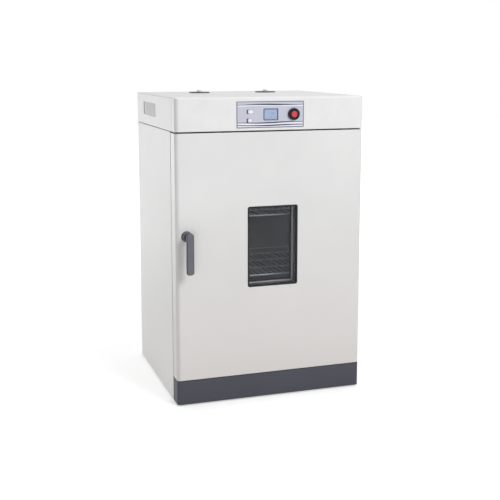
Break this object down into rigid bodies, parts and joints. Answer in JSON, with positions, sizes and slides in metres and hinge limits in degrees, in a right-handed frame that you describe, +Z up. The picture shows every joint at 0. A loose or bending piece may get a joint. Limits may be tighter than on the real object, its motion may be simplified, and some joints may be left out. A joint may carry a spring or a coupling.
{
  "type": "laboratory incubator",
  "caption": "Floor-standing heated cabinet with a hinged windowed door, lever handle, wire shelves and a control head with display, jog knob and top vents.",
  "frame": {"origin": "on the floor, under the middle of the whole object with its handle and mains gland", "axes": "+X to the right as seen from the front, +Y from the front to the back, +Z up"},
  "size_m": [0.692, 0.696, 1.0913],
  "materials": {
    "white_panel": "satin",
    "fascia_plastic": "satin",
    "grey_panel": "satin",
    "dark_plate": "satin",
    "foot_rubber": "matte",
    "stainless": "satin",
    "bright_wire": "polished",
    "zinc_steel": "satin",
    "insulation": "matte",
    "heater_tube": "satin",
    "fan_alloy": "satin",
    "louvre_grey": "satin",
    "control_face": "satin",
    "bezel_blue": "gloss",
    "display_lens": "gloss",
    "circuit_board": "satin",
    "module_case": "satin",
    "terminal_grey": "satin",
    "gland_black": "satin",
    "knob_black": "satin",
    "button_red": "satin",
    "key_white": "satin",
    "vent_dark": "satin",
    "vent_light": "satin",
    "gasket_grey": "matte",
    "window_black": "satin",
    "window_glass": "gloss",
    "bush_brass": "satin",
    "handle_grey": "satin"
  },
  "bodies": {
    "cabinet": {"outer_case": "white_panel", "head_cover": "white_panel", "front_frame": "white_panel", "head_fascia": "fascia_plastic", "back_panel": "grey_panel", "head_back_panel": "grey_panel", "base_pan": "grey_panel", "kick_plate": "dark_plate", "deck_plate": "dark_plate", "levelling_feet": "foot_rubber", "chamber_liner": "stainless", "shelf_rack_left": "stainless", "shelf_rack_right": "stainless", "shelf_runners": "stainless", "air_baffle": "stainless", "vent_tubes": "stainless", "temperature_probes": "stainless", "panel_screws": "zinc_steel", "hinge_brackets": "zinc_steel", "latch_striker": "zinc_steel", "fan_motor": "zinc_steel", "chamber_insulation": "insulation", "heater_coil": "heater_tube", "relay_heatsink": "fan_alloy", "louvre_left": "louvre_grey", "louvre_right": "louvre_grey", "control_plate": "control_face", "display_bezel": "bezel_blue", "display_window": "display_lens", "display_board": "circuit_board", "power_module": "module_case", "terminal_block": "terminal_grey", "mains_gland": "gland_black", "vent_seat_left": "vent_dark", "vent_seat_right": "vent_dark"},
    "door": {"door_shell": "white_panel", "door_liner": "stainless", "door_insulation": "insulation", "door_gasket": "gasket_grey", "window_rim": "window_black", "outer_glass": "window_glass", "inner_glass": "window_glass", "window_tunnel": "window_black", "glass_beads": "fan_alloy", "door_bushes": "bush_brass", "handle_rose": "handle_grey"},
    "handle": {"handle_lever": "handle_grey", "handle_spindle": "zinc_steel", "latch_cam": "zinc_steel"},
    "jog_knob": {"jog_ring": "knob_black"},
    "knob_button": {"knob_button": "button_red"},
    "power_key": {"power_key": "key_white"},
    "menu_key": {"menu_key": "key_white"},
    "vent_left": {"vent_disc_left": "vent_dark", "vent_knob_left": "vent_light"},
    "vent_right": {"vent_disc_right": "vent_dark", "vent_knob_right": "vent_light"},
    "shelf_upper": {"wire_shelf_upper": "bright_wire"},
    "shelf_lower": {"wire_shelf_lower": "bright_wire"},
    "fan": {"fan_wheel": "fan_alloy"}
  },
  "joints": [
    {"name": "door_hinge", "type": "hinge", "parent": "cabinet", "child": "door", "pos_m": [0.33, -0.264, 0.5265], "axis": [0, 0, 1], "range_deg": [0, 115]},
    {"name": "handle_turn", "type": "hinge", "parent": "door", "child": "handle", "pos_m": [-0.308, -0.294, 0.607], "axis": [0, -1, 0], "range_deg": [0, 90]},
    {"name": "jog_spin", "type": "hinge", "parent": "cabinet", "child": "jog_knob", "pos_m": [0.08, -0.294, 1.0195], "axis": [0, -1, 0], "continuous": true},
    {"name": "knob_press", "type": "slide", "parent": "jog_knob", "child": "knob_button", "axis": [0, 1, 0], "range_m": [0, 0.0015], "stiffness_N_per_m": 900, "springref_m": -0.001},
    {"name": "power_key_press", "type": "slide", "parent": "cabinet", "child": "power_key", "axis": [0, 1, 0], "range_m": [0, 0.001], "stiffness_N_per_m": 900, "springref_m": -0.001},
    {"name": "menu_key_press", "type": "slide", "parent": "cabinet", "child": "menu_key", "axis": [0, 1, 0], "range_m": [0, 0.001], "stiffness_N_per_m": 900, "springref_m": -0.001},
    {"name": "vent_turn_left", "type": "hinge", "parent": "cabinet", "child": "vent_left", "pos_m": [-0.135, 0.166, 1.08], "axis": [0, 0, 1], "range_deg": [0, 45]},
    {"name": "vent_turn_right", "type": "hinge", "parent": "cabinet", "child": "vent_right", "pos_m": [0.135, 0.166, 1.08], "axis": [0, 0, 1], "range_deg": [0, 45]},
    {"name": "shelf_slide_upper", "type": "slide", "parent": "cabinet", "child": "shelf_upper", "axis": [0, -1, 0], "range_m": [0, 0.03]},
    {"name": "shelf_slide_lower", "type": "slide", "parent": "cabinet", "child": "shelf_lower", "axis": [0, -1, 0], "range_m": [0, 0.03]},
    {"name": "fan_spin", "type": "hinge", "parent": "cabinet", "child": "fan", "pos_m": [0, 0.236, 0.52], "axis": [0, -1, 0], "continuous": true}
  ]
}
